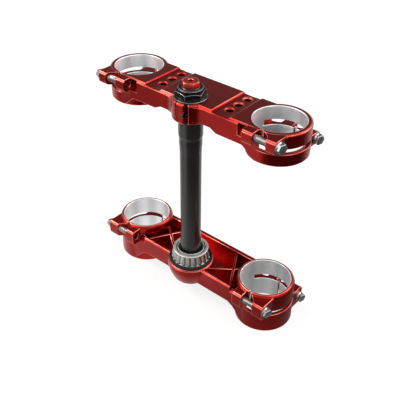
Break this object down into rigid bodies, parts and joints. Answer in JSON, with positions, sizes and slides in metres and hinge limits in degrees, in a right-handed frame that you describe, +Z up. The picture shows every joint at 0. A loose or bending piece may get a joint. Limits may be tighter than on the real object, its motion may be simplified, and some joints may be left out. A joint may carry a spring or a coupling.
{
  "type": "motorcycle triple clamp",
  "caption": "Upper and lower fork clamps of a motorcycle joined by a steering stem with its lower roller bearing, stem nut and pinch bolts.",
  "frame": {"origin": "on the steering axis, at the lower clamp's seat for the lower bearing", "axes": "+Z up along the steering axis, +X to the right-hand fork tube, +Y forward from the steering axis to the fork tubes"},
  "size_m": [0.259, 0.0931, 0.2805],
  "materials": {
    "red_anodised": "machined and anodised red, satin gloss",
    "black_oxide": "black anodised, satin",
    "plain_steel": "zinc plated, bright",
    "bearing_steel": "ground",
    "seal_rubber": "matt black rubber"
  },
  "bodies": {
    "clamp_set": {"upper_clamp": "red_anodised", "lower_clamp": "red_anodised", "stem_cap": "red_anodised", "steering_stem": "black_oxide", "stem_nut": "black_oxide", "stem_pinch_bolt": "plain_steel", "bearing_inner_race": "bearing_steel", "bearing_dust_seal": "seal_rubber", "upper_left_rear_pinch_bolt": "plain_steel", "upper_left_front_pinch_bolt": "plain_steel", "upper_right_rear_pinch_bolt": "plain_steel", "upper_right_front_pinch_bolt": "plain_steel", "lower_left_rear_pinch_bolt": "plain_steel", "lower_left_front_pinch_bolt": "plain_steel", "lower_right_rear_pinch_bolt": "plain_steel", "lower_right_front_pinch_bolt": "plain_steel"},
    "roller_cage": {"bearing_cage": "bearing_steel", "bearing_roller_1": "bearing_steel", "bearing_roller_2": "bearing_steel", "bearing_roller_3": "bearing_steel", "bearing_roller_4": "bearing_steel", "bearing_roller_5": "bearing_steel", "bearing_roller_6": "bearing_steel", "bearing_roller_7": "bearing_steel", "bearing_roller_8": "bearing_steel", "bearing_roller_9": "bearing_steel", "bearing_roller_10": "bearing_steel", "bearing_roller_11": "bearing_steel", "bearing_roller_12": "bearing_steel", "bearing_roller_13": "bearing_steel", "bearing_roller_14": "bearing_steel", "bearing_roller_15": "bearing_steel", "bearing_roller_16": "bearing_steel", "bearing_roller_17": "bearing_steel", "bearing_roller_18": "bearing_steel", "bearing_roller_19": "bearing_steel", "bearing_roller_20": "bearing_steel"}
  },
  "joints": [
    {"name": "roller_cage_turn", "type": "hinge", "parent": "clamp_set", "child": "roller_cage", "pos_m": [0, 0, 0], "axis": [0, 0, 1], "continuous": true}
  ]
}
